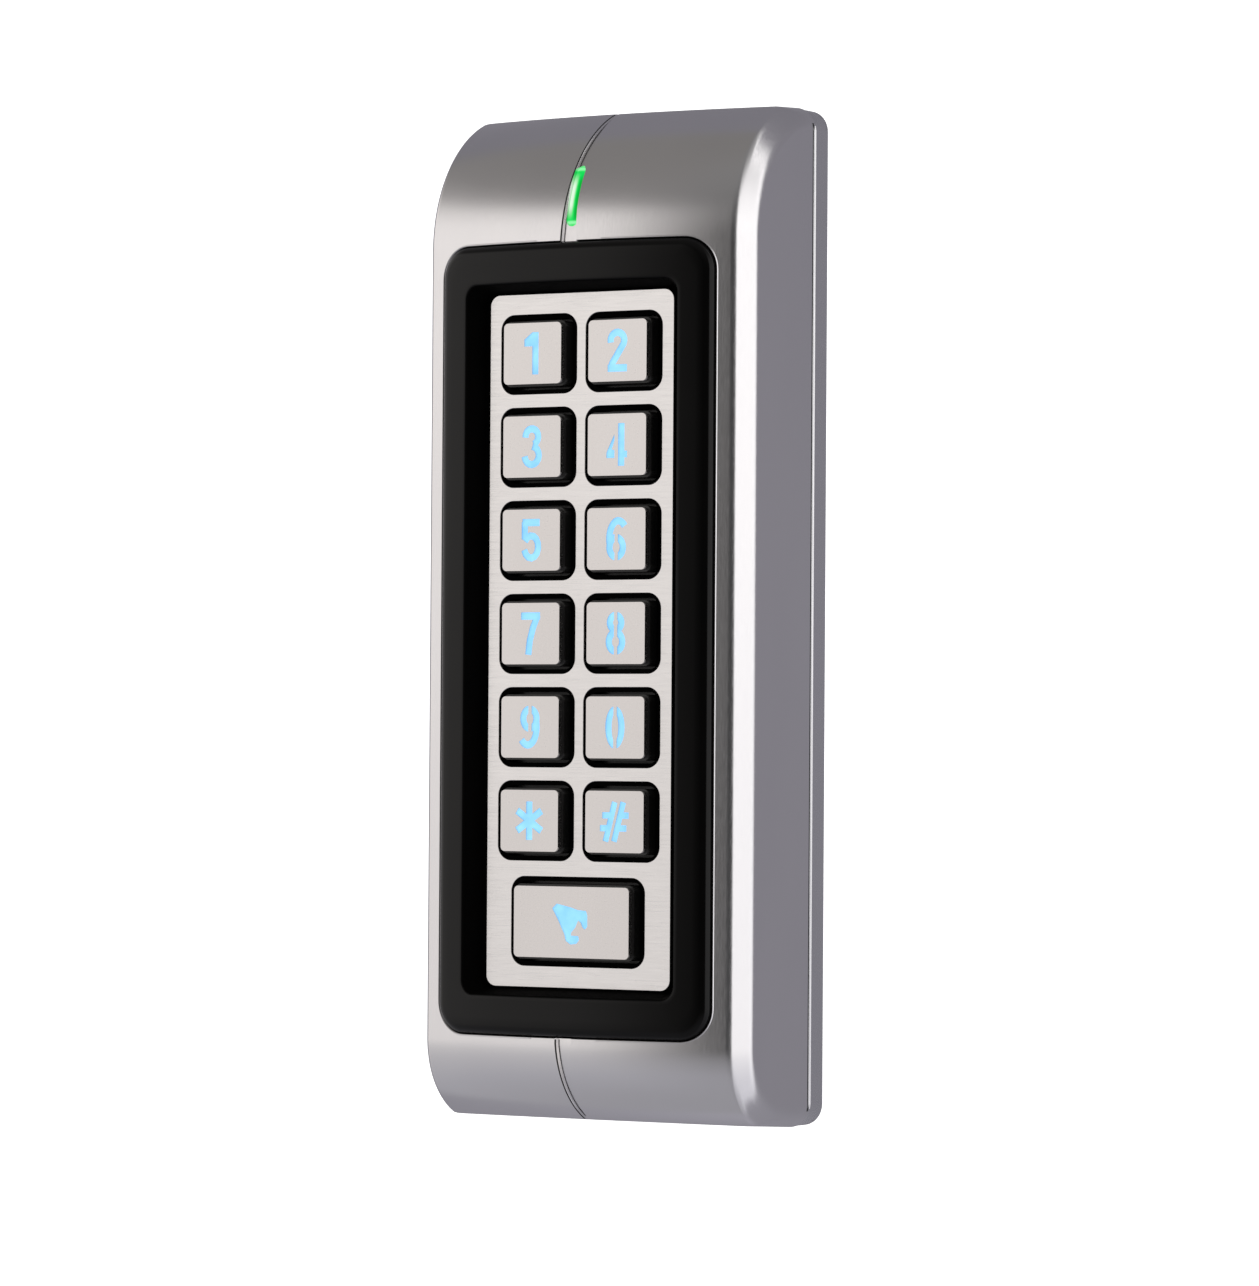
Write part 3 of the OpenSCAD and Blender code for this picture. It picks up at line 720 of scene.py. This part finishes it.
MATERIALS = {
    "satin_case": satin_metal("satin_case", (0.80, 0.79, 0.795), (0.77, 0.76, 0.77), 0.20,
                              brush=(1, 1, 0.12), strength=0.05, scale=6000),
    "satin_back": satin_metal("satin_back", (0.74, 0.735, 0.75), (0.70, 0.70, 0.71), 0.25,
                              brush=(1, 1, 0.12), strength=0.05, scale=6000),
    "bezel_black": bezel_plastic("bezel_black"),
    "keypad_steel": satin_metal("keypad_steel", (0.865, 0.85, 0.84), (0.83, 0.815, 0.805), 0.24,
                                brush=(0.05, 1, 1), strength=0.04, scale=6000),
    "key_metal": satin_metal("key_metal", (0.80, 0.775, 0.76), (0.765, 0.74, 0.725), 0.24,
                             brush=(1, 1, 1), strength=0.03, scale=5000),
    "legend_blue": lit("legend_blue", (0.215, 0.54, 0.93), (0.27, 0.615, 0.96), 0.92),
    "key_black": moulded("key_black", (0.018, 0.017, 0.016), (0.012, 0.012, 0.011), 0.30, 0.05),
    "status_green": status_light("status_green"),
    "silicone": moulded("silicone", (0.52, 0.53, 0.54), (0.46, 0.47, 0.48), 0.55),
    "circuit_board": moulded("circuit_board", (0.01, 0.16, 0.06), (0.01, 0.12, 0.05), 0.4),
    "led_body": moulded("led_body", (0.90, 0.87, 0.68), (0.84, 0.80, 0.60), 0.35),
    "chip_black": moulded("chip_black", (0.03, 0.03, 0.03), (0.02, 0.02, 0.02), 0.5, 0.15),
    "capacitor_can": satin_metal("capacitor_can", (0.80, 0.80, 0.82), (0.72, 0.72, 0.74), 0.3),
    "relay_case": moulded("relay_case", (0.84, 0.84, 0.81), (0.80, 0.80, 0.77), 0.4),
    "coil_copper": satin_metal("coil_copper", (0.75, 0.38, 0.18), (0.62, 0.30, 0.13), 0.3,
                               brush=(1, 1, 1)),
    "inner_plastic": moulded("inner_plastic", (0.06, 0.06, 0.065), (0.045, 0.045, 0.05), 0.55, 0.2),
    "gasket_rubber": moulded("gasket_rubber", (0.022, 0.022, 0.022), (0.014, 0.014, 0.014),
                             0.65, 0.2),
    "screw_steel": satin_metal("screw_steel", (0.52, 0.52, 0.54), (0.40, 0.40, 0.42), 0.3,
                               brush=(1, 1, 1)),
}

SLOT_OF = {part["node"]: part["material_slot"] for part in frame["record"]["subparts"]}

for node_name, node_obj in NODES.items():
    wear(node_obj, MATERIALS[SLOT_OF[node_name]])

# ---- pieces that stand for CAD nodes ----

for piece, node_name in ((build_case(), "front_housing"), (build_bezel(), "bezel"),
                         (build_plate(), "keypad_plate"), (build_lens(), "status_light_pipe")):
    wear(piece, MATERIALS[SLOT_OF[node_name]])
    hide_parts(node_name)

# The dark rubber on the joint seals is their own; on the groove lines it is painted shade.
for dark_strip in (build_joint_seal(1), build_joint_seal(-1),
             build_groove_line("groove_line_top", TOP_ROLL, TOP_FALL, 1),
             build_groove_line("groove_line_bottom", BOTTOM_ROLL, BOTTOM_FALL, -1)):
    wear(dark_strip, MATERIALS["gasket_rubber"])

for side in (1, -1):
    for bead, node_name in ((build_cover_bead(side), "back_cover"),
                            (build_opening_ridge(side), "front_housing")):
        wear(bead, MATERIALS[SLOT_OF[node_name]])

# ---- softened edges on the CAD nodes that show ----

for name in KEYS:
    round_edges(NODES[f"key_{name}_cap"], 0.10)
    round_edges(NODES[f"key_{name}_carrier"], 0.15)
round_edges(NODES["back_cover"], 0.22, 3)
round_edges(NODES["locking_screw"], 0.12)

# ---- studio ----

def backdrop():
    """A pale round floor that sweeps up into a pale wall all the way round."""
    floor_z, flat, sweep, top = -0.30, 1.8, 0.7, 3.0
    section = [(0.02, floor_z), (flat, floor_z)]
    for t in range(9, 91, 9):
        a = math.radians(t)
        section.append((flat + sweep * math.sin(a), floor_z + sweep * (1 - math.cos(a))))
    section.append((flat + sweep, top))
    turns = [2 * math.pi * i / 72 for i in range(72)]
    bm = bmesh.new()
    loft(bm, [[bm.verts.new((r * math.cos(a), r * math.sin(a), z)) for a in turns]
              for r, z in section])
    bmesh.ops.reverse_faces(bm, faces=bm.faces)
    mesh = bpy.data.meshes.new("studio_sweep")
    bm.to_mesh(mesh)
    bm.free()
    for poly in mesh.polygons:
        poly.use_smooth = True
    obj = bpy.data.objects.new("studio_sweep", mesh)
    bpy.context.scene.collection.objects.link(obj)
    m = Nodes("studio_white")
    speck = m.noise(m.coords(), 6.0, 3.0)
    tone = m.mix(m.ramp(speck, 0, 1), (0.97, 0.97, 0.97), (0.99, 0.99, 0.99))
    m.link(tone, m.shader.inputs["Base Color"])
    m.link(tone, m.shader.inputs["Emission Color"])
    m.set(Roughness=0.9, Emission_Strength=1.0, Specular_IOR_Level=0.0)
    wear(obj, m.mat)
    obj.visible_glossy = False
    obj.visible_diffuse = False
    obj.visible_shadow = False


class Surround:
    """World lighting drawn by direction, in degrees.

    The bearing is counted from the front, positive to the right; the height from the horizon.
    """

    def __init__(self):
        self.world = bpy.data.worlds.new("studio")
        self.world.use_nodes = True
        self.tree = self.world.node_tree
        coord = self.tree.nodes.new("ShaderNodeTexCoord")
        axes = self.tree.nodes.new("ShaderNodeSeparateXYZ")
        self.tree.links.new(coord.outputs["Generated"], axes.inputs[0])
        forward = self.math("MULTIPLY", axes.outputs["Y"], -1.0)
        self.bearing = self.math("DEGREES", self.math("ARCTAN2", axes.outputs["X"], forward))
        self.height = self.math("DEGREES", self.math("ARCSINE", axes.outputs["Z"]))

    def math(self, operation, *values):
        return math_node(self.tree, operation, *values)

    def step(self, value, start, end):
        node = self.tree.nodes.new("ShaderNodeMapRange")
        node.interpolation_type = "SMOOTHSTEP"
        node.inputs["From Min"].default_value = start
        node.inputs["From Max"].default_value = end
        self.tree.links.new(value, node.inputs["Value"])
        return node.outputs["Result"]

    def by_height(self, levels, low=(0.985, 0.975, 1.05), high=(1.0, 0.985, 0.985)):
        """levels: (height, radiance) pairs.

        The tint is low up to 30 degrees below the horizon, and high from the horizon on.
        """
        node = self.tree.nodes.new("ShaderNodeValToRGB")
        ramp = node.color_ramp
        while len(ramp.elements) < len(levels):
            ramp.elements.new(0.5)
        for element, (height, level) in zip(ramp.elements, levels):
            t = min(1.0, max(0.0, (height + 30) / 30))
            element.position = (height + 90) / 180
            element.color = [level * (a + (b - a) * t) / 2 for a, b in zip(low, high)] + [1]
        place = self.math("DIVIDE", self.math("ADD", self.height, 90.0), 180.0)
        self.tree.links.new(place, node.inputs["Fac"])
        return node.outputs["Color"]

    def mix(self, fac, a, b):
        return mix_node(self.tree, fac, a, b)

    def finish(self, colour):
        background = self.tree.nodes["Background"]
        self.tree.links.new(colour, background.inputs["Color"])
        background.inputs["Strength"].default_value = 2.0
        bpy.context.scene.world = self.world


def light_surround():
    """A broad softbox front left, a strip to the right, a dark gap between, dim elsewhere."""
    w = Surround()
    key = w.by_height([(-90, 0.35), (-59, 0.38), (-37, 0.45), (-18, 0.55), (-9, 0.66), (-4, 0.83),
                       (0, 0.91), (6, 0.98), (18, 0.95), (24, 0.80), (31, 0.37), (38, 0.255),
                       (50, 0.235), (90, 0.215)], high=(1.03, 0.99, 0.965))
    gap = w.by_height([(-90, 0.35), (-37, 0.36), (-18, 0.25), (-10, 0.14), (-3, 0.05), (3, 0.055),
                       (10, 0.075), (19, 0.12), (31, 0.17), (44, 0.22), (57, 0.24), (90, 0.235)])
    strip = w.by_height([(-90, 0.40), (-60, 0.47), (-40, 0.62), (-25, 0.80), (-12, 0.97),
                         (-5, 1.12), (0, 1.25), (10, 1.35), (24, 1.15), (32, 0.80), (42, 0.48),
                         (56, 0.30), (90, 0.24)])
    rim = w.by_height([(-90, 0.40), (-60, 0.50), (-40, 0.75), (-20, 1.1), (10, 1.4), (45, 1.3),
                       (60, 0.7), (75, 0.30), (90, 0.24)])
    rear = w.by_height([(-90, 0.39), (-70, 0.40), (-45, 0.32), (-22, 0.28), (0, 0.27), (40, 0.23),
                        (90, 0.24)], low=(0.985, 0.965, 1.08), high=(0.985, 0.955, 1.075))
    left_edge = w.step(w.bearing, -112, -94)
    right_edge = w.step(w.bearing, 6, -34)
    colour = w.mix(w.math("MULTIPLY", left_edge, right_edge), gap, key)
    colour = w.mix(w.step(w.bearing, 58, 66), colour, strip)
    colour = w.mix(w.step(w.bearing, 96, 101), colour, rim)
    behind = w.math("MAXIMUM", w.step(w.bearing, 106, 114), w.step(w.bearing, -96, -112))
    w.finish(w.mix(behind, colour, rear))


def softbox(name, azimuth, elevation):
    """A square fill light, at a direction seen from the reader, in degrees."""
    distance, spread, radiance = 1.2, 40, 0.5
    a, e = math.radians(azimuth), math.radians(elevation)
    aim = Vector((math.sin(a) * math.cos(e), -math.cos(a) * math.cos(e), math.sin(e)))
    light = bpy.data.lights.new(name, "AREA")
    light.shape = "RECTANGLE"
    light.size = light.size_y = 2 * distance * math.tan(math.radians(spread / 2))
    light.energy = radiance * math.pi * light.size * light.size_y
    obj = bpy.data.objects.new(name, light)
    obj.location = aim * distance
    obj.rotation_euler = aim.to_track_quat("Z", "Y").to_euler()
    obj.visible_camera = False
    obj.visible_glossy = False
    bpy.context.scene.collection.objects.link(obj)


backdrop()
light_surround()
softbox("fill_left", -50, 30)
softbox("fill_right", 60, 30)

bpy.context.scene.view_settings.view_transform = "Standard"

# ---- camera ----

VIEW_AZIMUTH, VIEW_ELEVATION, VIEW_ROLL = 31.645, -1.054, 0.376
VIEW_DISTANCE = 0.7354
VIEW_CENTRE = (-0.00425, -0.00318)  # how far the axis passes right of and above the origin
FOCAL_LENGTH = 160.87

a, e, roll = (math.radians(v) for v in (VIEW_AZIMUTH, VIEW_ELEVATION, VIEW_ROLL))
back = Vector((math.sin(a) * math.cos(e), -math.cos(a) * math.cos(e), math.sin(e)))
right = Vector((math.cos(a), math.sin(a), 0))
up = back.cross(right)
camera_data = bpy.data.cameras.new("camera")
camera_data.lens = FOCAL_LENGTH
camera = bpy.data.objects.new("camera", camera_data)
bpy.context.scene.collection.objects.link(camera)
place = back * VIEW_DISTANCE + right * VIEW_CENTRE[0] + up * VIEW_CENTRE[1]
turned_right = right * math.cos(roll) + up * math.sin(roll)
turned_up = up * math.cos(roll) - right * math.sin(roll)
camera.matrix_world = Matrix((
    (turned_right.x, turned_up.x, back.x, place.x),
    (turned_right.y, turned_up.y, back.y, place.y),
    (turned_right.z, turned_up.z, back.z, place.z),
    (0, 0, 0, 1)))
bpy.context.scene.camera = camera

bpy.context.view_layer.update()
